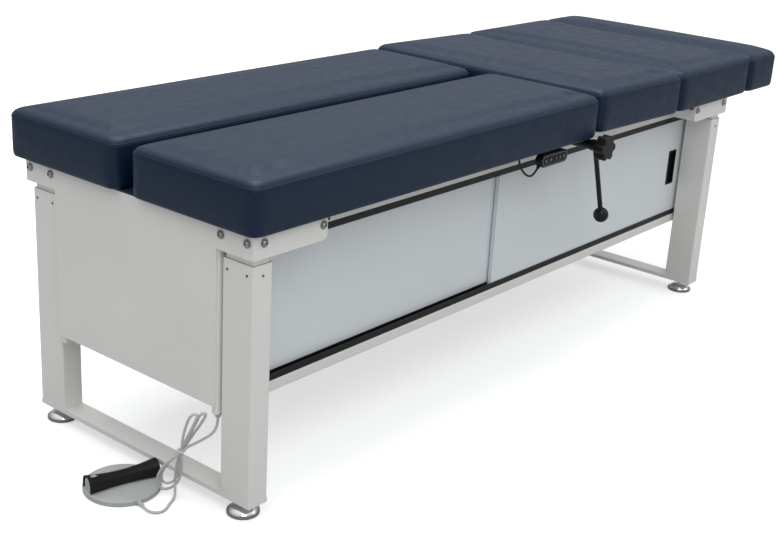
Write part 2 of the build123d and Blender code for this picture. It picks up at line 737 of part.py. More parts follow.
def drop_lever():
    """Cross shaft with two cranks under the drop plate, its bearings, the lever and the knob."""
    back_y = leg_spread - front_face
    bore = Circle(shaft_r + shaft_clear)
    ring = Circle(bearing_r) - bore
    flange = Circle(bearing_flange_r) - bore
    rear = along_y(ring, back_y - rail_wide, back_y, shaft_x, shaft_z)
    rear += along_y(flange, back_y, back_y + bearing_flange, shaft_x, shaft_z)
    fore = along_y(ring, sleeve_front, front_face + rail_wide, shaft_x, shaft_z)
    fore += along_y(flange, front_face - bearing_flange, front_face, shaft_x, shaft_z)
    save("lever_bearings", fore, rear)
    hub_back = hub_front + hub_thick
    shaft_front = hub_front + shaft_in_hub
    shaft = along_y(Circle(shaft_r), shaft_front, back_y + bearing_flange + shaft_past,
                    shaft_x, shaft_z)
    angle = math.radians(crank_deg)
    tip = (crank_long * math.cos(angle), crank_long * math.sin(angle))
    arm = hull(Circle(crank_hub_r), Pos(*tip) * Circle(crank_roller_r - 1))
    rollers = []
    first = front_face + rail_wide + crank_inside
    for low, side in ((first, 1), (leg_spread - first - crank_thick, -1)):
        shaft += along_y(arm, low, low + crank_thick, shaft_x, shaft_z)
        at = (shaft_x + tip[0], shaft_z + tip[1])
        inner = low + crank_thick if side > 0 else low - crank_pin_long
        shaft += along_y(Circle(crank_pin_r), inner, inner + crank_pin_long, *at)
        seat = inner + roller_set if side > 0 else inner + crank_pin_long - roller_set - roller_long
        roller = Circle(crank_roller_r) - Circle(crank_pin_r + roller_clear)
        rollers.append(along_y(roller, seat, seat + roller_long, *at))
    save("lever_shaft", shaft, *rollers)
    hub_y = hub_front + hub_thick / 2
    tilt = math.radians(lever_tilt_deg)
    down = Vector(math.sin(tilt), 0, -math.cos(tilt))
    centre = Vector(shaft_x, hub_y, shaft_z)
    hub = along_y(Circle(hub_r), hub_front, hub_back, shaft_x, shaft_z)
    hub = chamfer(hub.edges().filter_by(GeomType.CIRCLE), 1.0)
    rod_end = lever_long - lever_end_gap
    hub += extrude(Plane(centre, z_dir=down) * Circle(lever_rod_r), rod_end)
    hub -= along_y(Circle(shaft_r + hub_shaft_clear), shaft_front, hub_back + 1, shaft_x, shaft_z)
    hub -= along_y(Circle(tension_stud_r + hub_stud_clear), hub_front - 1, shaft_front, shaft_x, shaft_z)
    save("drop_lever", hub)
    ball_at = centre + down * lever_long
    socket = Plane(ball_at - down * (ball_r + 1), z_dir=down)
    save("lever_ball", Pos(ball_at) * Sphere(ball_r)
         - extrude(socket * Circle(lever_rod_r + ball_clear), ball_r + 1 - lever_end_gap + 0.5))
    star = Sketch() + Circle(knob_core_r)
    star += PolarLocations(knob_lobe_offset, knob_lobes) * Circle(knob_lobe_r)
    star = fillet(star.vertices(), knob_hollow_r)
    knob = along_y(star, knob_back - knob_thick, knob_back, shaft_x, shaft_z)
    knob = fillet(knob.edges().group_by(Axis.Y)[0], knob_round)
    knob += along_y(Circle(knob_boss_r), knob_back, knob_back + knob_boss, shaft_x, shaft_z)
    knob += along_y(Circle(tension_stud_r), knob_back, hub_front + tension_stud_in, shaft_x, shaft_z)
    save("tension_knob", knob)


def handset():
    """Pill-shaped hand control with five sprung buttons, its bracket and its short cord."""
    back = handset_front + handset_deep
    pill = SlotOverall(handset_long, handset_tall)
    body = along_y(pill, handset_front, back, handset_x, handset_z)
    body = fillet(body.edges().group_by(Axis.Y)[0] + body.edges().group_by(Axis.Y)[-1],
                  handset_round)
    for name, dx, size in zip(button_names, button_places, button_sizes):
        x = handset_x + dx
        body -= along_y(Circle(size + button_clear), handset_front - 1,
                        handset_front + pocket_deep, x, handset_z)
        cap = along_y(Circle(size), handset_front - button_proud,
                      handset_front - button_proud + button_thick, x, handset_z)
        save(f"button_{name}", fillet(cap.edges().group_by(Axis.Y)[0], 0.6))
    end_x = handset_x - (handset_long - handset_tall) / 2
    mid = handset_front + handset_deep / 2
    slant = Vector(-1, 0, -1).normalized()
    start = Vector(end_x, mid, handset_z)
    stub = extrude(Plane(start + slant * (handset_tall / 2 - 3), z_dir=slant) * Circle(stub_r),
                   stub_reach - handset_tall / 2 + 3)
    save("handset_body", body + stub)
    low = frame_top - bracket_down - bracket_sheet
    bend = [(front_face, low + bracket_sheet - bracket_tab), (front_face, low + bracket_sheet),
            (back, low + bracket_sheet), (back, low + bracket_sheet - bracket_tab),
            (back + bracket_sheet, low + bracket_sheet - bracket_tab),
            (back + bracket_sheet, low), (front_face - bracket_sheet, low),
            (front_face - bracket_sheet, low + bracket_sheet - bracket_tab)]
    outline = make_face(Polyline(*bend, close=True))
    save("handset_bracket", along_x(outline, handset_x - bracket_wide / 2,
                                    handset_x + bracket_wide / 2, 0, 0))
    print("handset cord")
    tip = start + slant * (stub_reach + 0.3)
    hole_x = handset_x - grommet_set
    hole_y = mid + grommet_back
    points = [tip, tip + slant * 21.5, (tip.X - 36, mid + 3, tip.Z - 13.5),
              (tip.X - 52, mid + 10, tip.Z + 4), (hole_x, hole_y, frame_top - 18),
              (hole_x, hole_y, frame_top)]
    save("handset_cord", hose(points, handset_cord_r, 6 * handset_cord_r))
    return along_z(Circle(grommet_r) - Circle(handset_cord_r + grommet_clear), frame_top - grommet_tall,
                   frame_top, hole_x, hole_y)


def oil_line(points, nut_out):
    """Rigid line with bends of one radius and a nut at each end."""
    path = FilletPolyline(*[Vector(*p) for p in points], radius=line_bend)
    line = sweep(Plane(origin=path @ 0, z_dir=path % 0) * Circle(line_r), path=path)
    (x0, y0, z0), (x1, y1, z1) = points[0], points[-1]
    for x, y, z, way in ((x0, y0, z0, nut_out), (x1, y1, z1, -nut_out)):
        line += along_x(RegularPolygon(line_nut_r, 6), min(x, x + way * line_nut),
                        max(x, x + way * line_nut), y, z)
    return line


def power_unit():
    """Pump block with motor and tank, oil lines to the four legs, control box and trunking."""
    block = span(pump_x - pump_long / 2, pump_x + pump_long / 2, mid_y - pump_wide / 2,
                 mid_y + pump_wide / 2, frame_bottom - pump_tall, frame_bottom)
    block = fillet(block.edges().filter_by(Axis.Z), pump_round)
    centre_z = frame_bottom - pump_tall / 2
    motor = along_y(Circle(motor_r), mid_y + pump_wide / 2, mid_y + pump_wide / 2 + motor_long,
                    pump_x, centre_z)
    motor = fillet(motor.edges().group_by(Axis.Y)[-1], drum_round)
    tank = along_y(Circle(tank_r), mid_y - pump_wide / 2 - tank_long, mid_y - pump_wide / 2,
                   pump_x, centre_z)
    tank = fillet(tank.edges().group_by(Axis.Y)[0], drum_round)
    save("pump_unit", block, motor, tank)
    lines = []
    for way in (-1, 1):
        port_x = pump_x + way * pump_long / 2
        frame_x = end_tube_wide - inset if way < 0 else leg_span - end_tube_wide + inset
        rise_x = frame_x - way * line_rise_start
        for side in (-1, 1):
            port_y = mid_y + side * port_apart / 2
            line_y = mid_y + side * (mid_y - front_face - rail_wide - line_side)
            points = [(port_x, port_y, port_z), (port_x + way * line_lead, port_y, port_z),
                      (port_x + way * line_spread, line_y, line_z), (rise_x, line_y, line_z),
                      (frame_x - way * line_rise_end, line_y, line_end_z),
                      (frame_x, line_y, line_end_z)]
            lines.append(oil_line(points, way))
    save("oil_lines", *lines)
    box_x = leg_span - wing_bolt_far + proud
    box = span(box_x - control_long / 2, box_x + control_long / 2, mid_y - control_wide / 2,
               mid_y + control_wide / 2, frame_bottom - control_tall, frame_bottom)
    box = fillet(box.edges().filter_by(Axis.Z), control_round)
    trunk_y = front_face + rail_wide + trunk_wide / 2
    trunk = along_x(hollow(trunk_wide, trunk_tall, trunk_wall, trunk_round), end_tube_wide,
                    box_x - trunk_short, trunk_y, frame_bottom - trunk_drop - trunk_tall / 2)
    save("control_box", box)
    save("wire_trunking", trunk)


def foot_switch():
    """Round floor plate with a sprung bow-tie rocker between two cheeks."""
    place = Pos(switch_x, switch_y, 0) * Rot(0, 0, switch_turn_deg)
    disc = Pos(0, 0, switch_thick / 2) * Cylinder(switch_r, switch_thick)
    disc = fillet(disc.edges().filter_by(GeomType.CIRCLE), switch_edge)
    cheek = Rectangle(2 * cheek_half, pivot_z, align=(Align.CENTER, Align.MAX)) + Circle(cheek_half)
    cheek -= Circle(pivot_r + pivot_clear)
    for x0 in (cheek_inner, -cheek_inner - cheek_thick):
        disc += along_x(cheek, x0, x0 + cheek_thick, 0, pivot_z)
    out_deg = relief_turn_deg - switch_turn_deg
    boss = span(switch_r - 12, relief_flat, -relief_boss_wide / 2, relief_boss_wide / 2,
                switch_thick - relief_boss_tall, switch_thick)
    disc += Rot(0, 0, out_deg) * boss
    save("foot_switch_base", place * disc)
    pin_end = cheek_inner + cheek_thick
    save("foot_switch_pin", place * along_x(Circle(pivot_r), -pin_end, pin_end, 0, pivot_z))

    def waisted(end, end_r, waist_r, bottom):
        with BuildSketch(Plane.XZ) as half:
            with BuildLine():
                arc = ThreePointArc((-end, end_r), (0, waist_r), (end, end_r))
                Polyline(arc @ 1, (end, 0), (-end, 0), arc @ 0)
            make_face()
        round_top = revolve(half.sketch, Axis.X)
        with BuildSketch() as plan:
            with BuildLine():
                arc = ThreePointArc((-end, end_r), (0, waist_r), (end, end_r))
                Line(arc @ 1, (end, 0))
                Line((end, 0), (-end, 0))
                Line((-end, 0), arc @ 0)
            make_face()
            mirror(about=Plane.XZ)
        skirt = extrude(plan.sketch, bottom - pivot_z)
        whole = round_top + skirt
        keep = span(-end - 1, end + 1, -end_r - 1, end_r + 1, bottom - pivot_z, end_r + 1)
        return Pos(0, 0, pivot_z) * (whole & keep)

    shell = waisted(rocker_half, rocker_end_r, rocker_waist_r, rocker_bottom)
    shell -= waisted(rocker_half + 1, rocker_end_r - rocker_wall, rocker_waist_r - rocker_wall,
                     rocker_bottom - 1)
    web = Circle(web_half) + Rectangle(2 * web_half, pivot_z - web_bottom,
                                       align=(Align.CENTER, Align.MAX))
    web = (web & Pos(0, web_half) * Rectangle(4 * web_half, 2 * (web_half + pivot_z - web_bottom)))
    web -= Circle(pivot_r + pivot_clear)
    for x0 in (web_at, -web_at - web_thick):
        shell += along_x(web, x0, x0 + web_thick, 0, pivot_z)
    micro_top = switch_thick + micro_tall
    switches = []
    for side in (-1, 1):
        x = side * micro_x
        y = side * micro_y
        rib = span(x - rib_thick / 2, x + rib_thick / 2, y - rib_thick / 2, y + rib_thick / 2,
                   micro_top + plunger_tall + 1.0, pivot_z + rocker_waist_r)
        shell += rib - along_x(Circle(pivot_r + 1.5), x - rib_thick, x + rib_thick, 0, pivot_z)
        body = span(x - micro_long / 2, x + micro_long / 2, y - micro_wide / 2, y + micro_wide / 2,
                    switch_thick, micro_top)
        switches.append(place * (body + along_z(Circle(plunger_r), micro_top,
                                                micro_top + plunger_tall, x, y)))
    save("foot_switch_rocker", place * shell)
    save("microswitches", *switches)
    out = Vector(math.cos(math.radians(relief_turn_deg)), math.sin(math.radians(relief_turn_deg)), 0)
    root = Vector(switch_x, switch_y, relief_z) + out * relief_flat
    cone = loft([Plane(root, z_dir=out) * Circle(relief_r),
                 Plane(root + out * relief_long, z_dir=out) * Circle(relief_tip_r)])
    save("cord_relief", cone)
    return root + out * (relief_long + 0.3), out


def foot_switch_cord(tip, out, grommet):
    """Grey cord from the gland under the front post, a tied hank and a run along the floor."""
    gland_y = front_face + post_y / 2
    nut_low = cabinet_bottom - gland_nut
    mouth = nut_low - gland_dome
    gland = along_z(RegularPolygon(gland_nut_r, 6), nut_low, cabinet_bottom, gland_x, gland_y)
    gland += along_z(Circle(gland_dome_r), mouth, nut_low, gland_x, gland_y)
    save("cord_glands", gland, grommet)
    side = hank_right
    plane = Plane(hank_tie, x_dir=side, z_dir=side.cross(hank_up))
    along = hank_up.dot(plane.x_dir), hank_up.dot(plane.y_dir)
    waist = Circle(hank_waist_r)
    low = Pos(along[0] * hank_low, along[1] * hank_low) * Circle(hank_low_r)
    high = Pos(along[0] * hank_high, along[1] * hank_high) * Circle(hank_high_r)
    outline = hull(low, waist) + hull(waist, high)
    hank = extrude(plane * outline, hank_thick / 2, both=True)
    tie = Rectangle(2 * hank_waist_r + 5, hank_thick + 2.8)
    tie -= Rectangle(2 * hank_waist_r + 2.6, hank_thick + 0.4)
    turned = Plane(hank_tie, x_dir=plane.z_dir.cross(hank_up), z_dir=hank_up)
    save("cord_hank", hank, extrude(turned * tie, 2, both=True))
    print("foot switch cord, strand to the gland")
    start = Vector(gland_x, gland_y, mouth - gland_gap)
    end = hank_tie + side * 9.5 + hank_up * 8
    strand = hose([start, start + Vector(0, 0, -27), start + Vector(-13, 25, -53), end],
                  cord_r, 6 * cord_r)
    print("foot switch cord, floor run")
    floor_z = cord_r + 0.05
    back = Vector(-out.Y, out.X, 0)
    c1 = tip + out * 18.5
    c2 = c1 + (out + back).normalized() * 18.5
    c3 = c2 + back * 18.5
    c1.Z = 5.4
    c2.Z = 3.8
    c3.Z = floor_z
    run = hose([(hank_tie.X + 15, hank_tie.Y + 21, 13.5), (hank_tie.X - 3, hank_tie.Y + 8, floor_z + 0.4),
                (hank_tie.X - 28, hank_tie.Y + 2, floor_z), c3, c2, c1, tip], cord_r, 6 * cord_r)
    save("foot_switch_cord", strand, run)


base_frame()
levelling_feet()
lift_columns()
top_frame()
panels()
frame_bolts()
cabinet()
doors()
decks_and_pads()
drop_section()
drop_lever()
deck_grommet = handset()
power_unit()
cord_tip, cord_out = foot_switch()
foot_switch_cord(cord_tip, cord_out, deck_grommet)
print("cocked angle", round(cocked_deg, 3), "shaft height", round(shaft_z, 2))
print("offset", tuple(round(v, 2) for v in origin_shift))
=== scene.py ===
"""Looks of the chiropractic table: materials, upholstery, cords, floor, light and camera."""

import json
import math

import bmesh
import bpy
from mathutils import Matrix, Vector


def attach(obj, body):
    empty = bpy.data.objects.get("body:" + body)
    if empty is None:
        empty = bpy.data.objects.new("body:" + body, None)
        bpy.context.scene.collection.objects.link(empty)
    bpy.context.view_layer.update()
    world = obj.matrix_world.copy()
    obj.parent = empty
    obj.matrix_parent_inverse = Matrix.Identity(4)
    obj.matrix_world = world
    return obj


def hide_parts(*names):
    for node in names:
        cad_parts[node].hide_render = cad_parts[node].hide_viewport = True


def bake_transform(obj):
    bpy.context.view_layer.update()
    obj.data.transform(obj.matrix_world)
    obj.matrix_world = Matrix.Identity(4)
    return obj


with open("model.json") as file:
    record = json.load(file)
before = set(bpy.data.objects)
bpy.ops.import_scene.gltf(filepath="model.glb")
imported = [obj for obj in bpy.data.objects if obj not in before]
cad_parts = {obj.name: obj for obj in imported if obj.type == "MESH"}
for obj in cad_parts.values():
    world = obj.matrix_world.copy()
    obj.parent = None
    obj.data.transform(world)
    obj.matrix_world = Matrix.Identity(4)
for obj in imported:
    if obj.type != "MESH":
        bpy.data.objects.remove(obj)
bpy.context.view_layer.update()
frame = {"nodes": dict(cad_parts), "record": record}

# Lengths are millimetres of the part's work frame: X along the table from the outer face of the
# foot end's legs, Y back from the front legs' faces, Z up from the floor. OFFSET and MM take them
# to the shared frame in metres.
OFFSET = Vector((-973.5, -310.5, 0.0))
MM = 0.001

# Legs: how far apart their outer faces are, and the width of one tube
LEGS_LONG = 1850.0
LEGS_DEEP = 650.0
LEG_WIDE = 50.0

# Foot switch: middle of its disc, turn of its rocker and height of the rocker's pin
SWITCH_AT = Vector((-81.0, 277.0, 0.0))
SWITCH_TURN = math.radians(-15)
ROCKER_AXIS = 28.0

# Handset: middle of its face, its length and its height
HANDSET = Vector((965.0, -12.0, 564.0))
HANDSET_LONG = 112.0
HANDSET_TALL = 31.0
HANDSET_STRAIGHT = HANDSET_LONG - HANDSET_TALL


def at(x, y, z):
    """Point of the work frame, in millimetres, as a point of the frame, in metres."""
    return (Vector((x, y, z)) + OFFSET) * MM


def placed(points):
    """Vectors of the work frame as points of the frame."""
    return [(p + OFFSET) * MM for p in points]


# Camera
CAMERA_AT = at(-1541.1, -1542.5, 1335.35)
CAMERA_YAW = 0.897002
CAMERA_PITCH = 0.350727
CAMERA_ROLL = 0.059206
LENS = 59.66
SENSOR_WIDE = 36.0
CLIP_FAR = 100.0


def camera():
    """Camera at the photograph's place, turned by its yaw, pitch and roll."""
    data = bpy.data.cameras.new("camera")
    data.lens = LENS
    data.sensor_width = SENSOR_WIDE
    data.clip_end = CLIP_FAR
    obj = bpy.data.objects.new("camera", data)
    bpy.context.scene.collection.objects.link(obj)
    ahead = Vector((math.sin(CAMERA_YAW) * math.cos(CAMERA_PITCH),
                    math.cos(CAMERA_YAW) * math.cos(CAMERA_PITCH), -math.sin(CAMERA_PITCH)))
    right = ahead.cross(Vector((0, 0, 1))).normalized()
    up = right.cross(ahead)
    turned = right * math.cos(CAMERA_ROLL) + up * math.sin(CAMERA_ROLL)
    above = up * math.cos(CAMERA_ROLL) - right * math.sin(CAMERA_ROLL)
    basis = Matrix((turned, above, -ahead)).transposed().to_4x4()
    obj.matrix_world = Matrix.Translation(CAMERA_AT) @ basis
    bpy.context.scene.camera = obj


# Materials
WHITE = (0.85, 0.84, 0.805)
NAVY = (0.004, 0.0135, 0.04)
BLACK = (0.006, 0.006, 0.0065)
PLATED = (0.78, 0.79, 0.81)
FOOT_PAD = (0.24, 0.225, 0.2)
FOOT_PAD_TOP = 7.05
COLLAR_STEEL = (0.62, 0.63, 0.64)
COLLAR_FRONT = -41.9
EVEN_GRAIN = (1, 1, 1)
BRUSHED_GRAIN = (1, 1, 12)


class Shader:
    """A material with one Principled shader and short calls for the nodes that feed it."""

    def __init__(self, name, colour, rough=0.5, metal=0.0, **inputs):
        self.material = bpy.data.materials.new(name)
        self.material.use_nodes = True
        self.tree = self.material.node_tree
        self.main = self.tree.nodes["Principled BSDF"]
        self.coords = self.tree.nodes.new("ShaderNodeTexCoord").outputs["Object"]
        self.main.inputs["Base Color"].default_value = (*colour, 1)
        self.main.inputs["Roughness"].default_value = rough
        self.main.inputs["Metallic"].default_value = metal
        self.colour = colour
        for key, value in inputs.items():
            self.main.inputs[key.replace("_", " ")].default_value = value

    def link(self, a, b):
        self.tree.links.new(a, b)

    def noise(self, scale, detail=4.0, stretch=None):
        node = self.tree.nodes.new("ShaderNodeTexNoise")
        node.inputs["Scale"].default_value = scale
        node.inputs["Detail"].default_value = detail
        source = self.coords
        if stretch:
            mapping = self.tree.nodes.new("ShaderNodeMapping")
            mapping.inputs["Scale"].default_value = stretch
            self.link(source, mapping.inputs["Vector"])
            source = mapping.outputs["Vector"]
        self.link(source, node.inputs["Vector"])
        return node.outputs["Fac"]

    def cells(self, scale):
        node = self.tree.nodes.new("ShaderNodeTexVoronoi")
        node.inputs["Scale"].default_value = scale
        self.link(self.coords, node.inputs["Vector"])
        return node.outputs["Distance"]

    def past(self, axis, limit):
        """1 where the place on the object along an axis is past the limit, and 0 elsewhere."""
        split = self.tree.nodes.new("ShaderNodeSeparateXYZ")
        self.link(self.coords, split.inputs["Vector"])
        node = self.tree.nodes.new("ShaderNodeMath")
        node.operation = "GREATER_THAN"
        node.inputs[1].default_value = limit
        self.link(split.outputs[axis], node.inputs[0])
        return node.outputs[0]

    def ramp(self, value, low, high, at_low=0.3, at_high=0.7):
        """Colour or grey level that goes from low to high as value goes from 0 to 1."""
        node = self.tree.nodes.new("ShaderNodeValToRGB")
        ends = node.color_ramp.elements
        ends[0].position, ends[1].position = at_low, at_high
        for end, level in zip(ends, (low, high)):
            end.color = (*level, 1) if hasattr(level, "__len__") else (level, level, level, 1)
        self.link(value, node.inputs["Fac"])
        return node.outputs["Color"]

    def base(self, value, low, high):
        self.link(self.ramp(value, low, high), self.main.inputs["Base Color"])

    def shade(self, value, amount):
        """Base colour made a little darker and lighter by value."""
        low = [c * (1 - amount) for c in self.colour]
        high = [min(1.0, c * (1 + amount)) for c in self.colour]
        self.base(value, low, high)

    def rough(self, value, low, high):
        self.link(self.ramp(value, low, high), self.main.inputs["Roughness"])

    def bump(self, value, height, strength=0.5):
        """Relief of value, height in metres, on top of any relief already there."""
        node = self.tree.nodes.new("ShaderNodeBump")
        node.inputs["Strength"].default_value = strength
        node.inputs["Distance"].default_value = height
        self.link(value, node.inputs["Height"])
        socket = self.main.inputs["Normal"]
        if socket.is_linked:
            self.link(socket.links[0].from_socket, node.inputs["Normal"])
        self.link(node.outputs["Normal"], socket)


def powder_coat(name, colour):
    """Matt white paint with a fine orange-peel grain."""
    s = Shader(name, colour, rough=0.42)
    s.shade(s.noise(3.5, 3), 0.025)
    s.rough(s.noise(60), 0.36, 0.5)
    s.bump(s.noise(900, 2), 0.0002, 0.35)
    s.bump(s.noise(260, 2), 0.0003, 0.18)
    return s.material


def satin_door(name, colour):
    """Smooth, slightly wavy panel."""
    s = Shader(name, colour, rough=0.36)
    s.shade(s.noise(2.2, 4), 0.02)
    s.rough(s.noise(35), 0.3, 0.42)
    s.bump(s.noise(5, 2), 0.0012, 0.1)
    s.bump(s.noise(700, 2), 0.00015, 0.25)
    return s.material


def vinyl(name, colour):
    """Upholstery vinyl with a leather grain of small cells."""
    s = Shader(name, colour, rough=0.42, Specular_IOR_Level=0.38, Specular_Tint=(0.76, 0.9, 1.0, 1))
    s.shade(s.noise(9, 5), 0.05)
    s.rough(s.noise(40, 4), 0.36, 0.48)
    s.bump(s.cells(620), 0.0003, 0.3)
    s.bump(s.noise(1100, 3), 0.00025, 0.35)
    s.bump(s.noise(11, 1), 0.0012, 0.05)
    return s.material


def moulding(name, colour, rough=0.45, grain=650):
    """Moulded plastic, or paint on a small piece."""
    s = Shader(name, colour, rough=rough, Specular_IOR_Level=0.32)
    s.shade(s.noise(14, 4), 0.06)
    s.rough(s.noise(45), rough - 0.06, rough + 0.08)
    s.bump(s.noise(grain, 2), 0.0002, 0.35)
    return s.material


def metal(name, colour, rough=0.3, grain=BRUSHED_GRAIN):
    """Bare metal with a grain that is stretched along the object."""
    s = Shader(name, colour, rough=rough, metal=1.0)
    s.shade(s.noise(30, 4), 0.08)
    fine = s.noise(90, 6, grain)
    s.rough(fine, rough - 0.08, rough + 0.12)
    s.bump(fine, 0.0001, 0.2)
    return s.material


def levelling_foot():
    """Bright plated dome and stud above a grey-brown pad."""
    s = Shader("levelling_foot_plated", PLATED, rough=0.12, metal=1.0)
    plated = s.past("Z", FOOT_PAD_TOP * MM)
    s.link(plated, s.main.inputs["Metallic"])
    s.base(plated, FOOT_PAD, PLATED)
    s.rough(plated, 0.6, 0.14)
    s.bump(s.noise(300, 3), 0.0002, 0.15)
    return s.material


def tension_knob():
    """Black star knob with a bright steel collar behind it."""
    s = Shader("tension_knob_black", BLACK, rough=0.38, Specular_IOR_Level=0.32)
    collar = s.past("Y", at(0, COLLAR_FRONT, 0).y)
    s.link(collar, s.main.inputs["Metallic"])
    s.base(collar, BLACK, COLLAR_STEEL)
    s.bump(s.noise(650, 2), 0.0002, 0.3)
    return s.material


def rubber_cord(name, colour):
    """Soft sheath of a cord."""
    s = Shader(name, colour, rough=0.5)
    s.shade(s.noise(120, 3), 0.06)
    s.rough(s.noise(200), 0.42, 0.58)
    s.bump(s.noise(500, 2), 0.0002, 0.3)
    return s.material


finishes = {
    "frame_paint": powder_coat("frame_powder_coat", WHITE),
    "door_panel": satin_door("door_satin", (0.8, 0.84, 0.865)),
    "steel": metal("machined_steel", (0.5, 0.51, 0.53), 0.34),
    "zinc": metal("zinc_plate", (0.4, 0.4, 0.39), 0.34),
    "chrome": levelling_foot(),
    "black_plastic": moulding("black_moulding", BLACK, 0.38),
    "grey_plastic": moulding("grey_moulding", (0.53, 0.55, 0.52), 0.55, 420),
    "light_cord": rubber_cord("grey_cord", (0.6, 0.6, 0.585)),
    "black_cord": rubber_cord("black_cord", (0.012, 0.012, 0.013)),
    "vinyl": vinyl("navy_vinyl", NAVY),
    "navy_board": vinyl("navy_deck", (0.008, 0.018, 0.042)),
    "plate": powder_coat("plate_powder_coat", WHITE),
    "machine": metal("cast_housing", (0.42, 0.43, 0.44), 0.5, EVEN_GRAIN),
    "guide": moulding("black_guide", (0.02, 0.02, 0.02), 0.5),
}
knob_finish = tension_knob()
button_face = moulding("button_face", (0.014, 0.014, 0.015), 0.35)
face_line = moulding("face_line", (0.26, 0.26, 0.27), 0.4)
# Darker copy of the navy vinyl for the sewn line: painted shade of the groove along the seam
seam_groove_shade_vinyl = vinyl("navy_vinyl_painted_groove_shade", (0.003, 0.008, 0.02))
mark_paint = moulding("mark_paint", (0.4, 0.41, 0.42), 0.4)
tag_paint = moulding("tag_paint", (0.78, 0.78, 0.76), 0.5)
screw_metal = metal("small_screw", (0.16, 0.16, 0.17), 0.35, EVEN_GRAIN)


def finish_of(node, slot):
    """Finish of a CAD node: that of its material slot, except where the photograph differs."""
    if node.startswith("button_"):
        return button_face
    if node == "cord_glands":
        return finishes["grey_plastic"]
    if node == "tension_knob":
        return knob_finish
    return finishes[slot]


def dress_frame():
    """Gives every CAD node its finish."""
    for entry in frame["record"]["subparts"]:
        obj = frame["nodes"].get(entry["node"])
        if obj is None:
            continue
        for slot in obj.material_slots:
            slot.material = finish_of(entry["node"], entry["material_slot"])


# Shapes
LINE_STEPS = 12


def piece_of(mesh, name, material):
    """Object made of a bmesh, smooth shaded and in one material."""
    data = bpy.data.meshes.new(name)
    mesh.to_mesh(data)
    mesh.free()
    data.materials.append(material)
    for polygon in data.polygons:
        polygon.use_smooth = True
    obj = bpy.data.objects.new(name, data)
    bpy.context.scene.collection.objects.link(obj)
    return obj


def carried(piece, body):
    """Lets a piece ride on a body."""
    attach(piece, body)


def turns(count):
    """Angles of even steps round a circle."""
    return [2 * math.pi * k / count for k in range(count)]


def skin(mesh, rings, capped=True):
    """Faces between rings of as many points each, and over the first and the last of them."""
    for a, b in zip(rings, rings[1:]):
        for k in range(len(a)):
            n = (k + 1) % len(a)
            mesh.faces.new((a[k], a[n], b[n], b[k]))
    if capped:
        mesh.faces.new(list(reversed(rings[0])))
        mesh.faces.new(rings[-1])


def smooth_line(points, name):
    """Line in the frame that follows control points of the work frame as a NURBS of order 3."""
    data = bpy.data.curves.new(name, "CURVE")
    data.dimensions = "3D"
    data.resolution_u = LINE_STEPS
    spline = data.splines.new("NURBS")
    spline.points.add(len(points) - 1)
    for target, point in zip(spline.points, placed(points)):
        target.co = (*point, 1)
    spline.order_u = 3
    spline.use_endpoint_u = True
    obj = bpy.data.objects.new(name + "_line", data)
    bpy.context.scene.collection.objects.link(obj)
    bpy.context.view_layer.update()
    mesh = bpy.data.meshes.new_from_object(obj)
    line = [v.co.copy() for v in mesh.vertices]
    bpy.data.objects.remove(obj)
    bpy.data.curves.remove(data)
    bpy.data.meshes.remove(mesh)
    return line


def tube(name, line, radius, material, sides=14, closed=False):
    """Round tube along a line of the frame, with its rings turned as little as possible."""
    count = len(line)
    ahead = []
    for i in range(count):
        before = line[i - 1] if closed or i else line[0]
        after = line[(i + 1) % count] if closed or i < count - 1 else line[-1]
        ahead.append((after - before).normalized())
    side = ahead[0].orthogonal().normalized()
    mesh = bmesh.new()
    rings = []
    for i in range(count):
        side = (side - ahead[i] * side.dot(ahead[i])).normalized()
        other = ahead[i].cross(side)
        rings.append([mesh.verts.new(line[i] + radius * (side * math.cos(a) + other * math.sin(a)))
                      for a in turns(sides)])
    if closed:
        first, last = rings[0], rings[-1]
        shift = min(range(sides), key=lambda s: (first[s].co - last[0].co).length)
        rings.append([first[(k + shift) % sides] for k in range(sides)])
    skin(mesh, rings, capped=not closed)
    bmesh.ops.recalc_face_normals(mesh, faces=mesh.faces)
    return piece_of(mesh, name, material)


# Foot switch cord: it leaves the gland under the front post, is tied in a hank and ends in the
# strain relief of the foot switch
CORD_R = 2.75
GLAND_MOUTH = Vector((5.0, 93.0, 194.7))
RELIEF_HEIGHT = 6.5
RELIEF_REACH = 96.3
FLOOR_BEND = 18.5
HANK_TIE = Vector((-30.0, 158.0, 110.0))
HANK_UP = Vector((0.0475, -0.4276, 0.9026))
HANK_RIGHT = Vector((0.624, -0.781, 0.0))
HANK_AWAY = Vector((0.757, 0.605, 0.247))
TIE_WIDE = 7.6
TIE_DEEP = 6.8
TIE_BACK = 1.0
TIE_R = 1.3


def hank_points():
    """Two tied figure-of-eight turns: wide loops below the tie and narrow ones above it."""
    def spot(side, up, away):
        return HANK_TIE + HANK_RIGHT * side + HANK_UP * up + HANK_AWAY * away
    return [
        spot(2.4, 0, -3), spot(-12, -22, -3.4), spot(-23, -50, -3.6), spot(-22, -84, -3.6),
        spot(-8, -110, -3.4), spot(12, -110, -3), spot(23, -88, -2.6), spot(19, -56, -2.2),
        spot(9, -24, -1.8), spot(0, 4, -1.6), spot(-9, 36, -1.4), spot(-14, 70, -1.2),
        spot(-15, 102, -0.8), spot(0, 104, -0.4), spot(0, 74, -0.2), spot(-0.5, 38, 0),
        spot(-1.6, 2, 0.2), spot(-10, -24, 0.4), spot(-17, -50, 0.6), spot(-16, -78, 0.8),
        spot(-4, -98, 1.2), spot(12, -96, 1.6), spot(17, -74, 2), spot(12, -46, 2.4),
        spot(5, -20, 2.8), spot(1.2, 4, 3.2), spot(2, 40, 3.4), spot(3, 74, 3.6),
        spot(3, 102, 3.8), spot(15, 104, 4), spot(14, 78, 4.2), spot(8, 42, 4.4),
        spot(3.6, 2, 4.6), spot(2, -26, 5), spot(6, -50, 5.4), spot(12, -76, 5),
        spot(16.5, -92, 2.5),
    ]


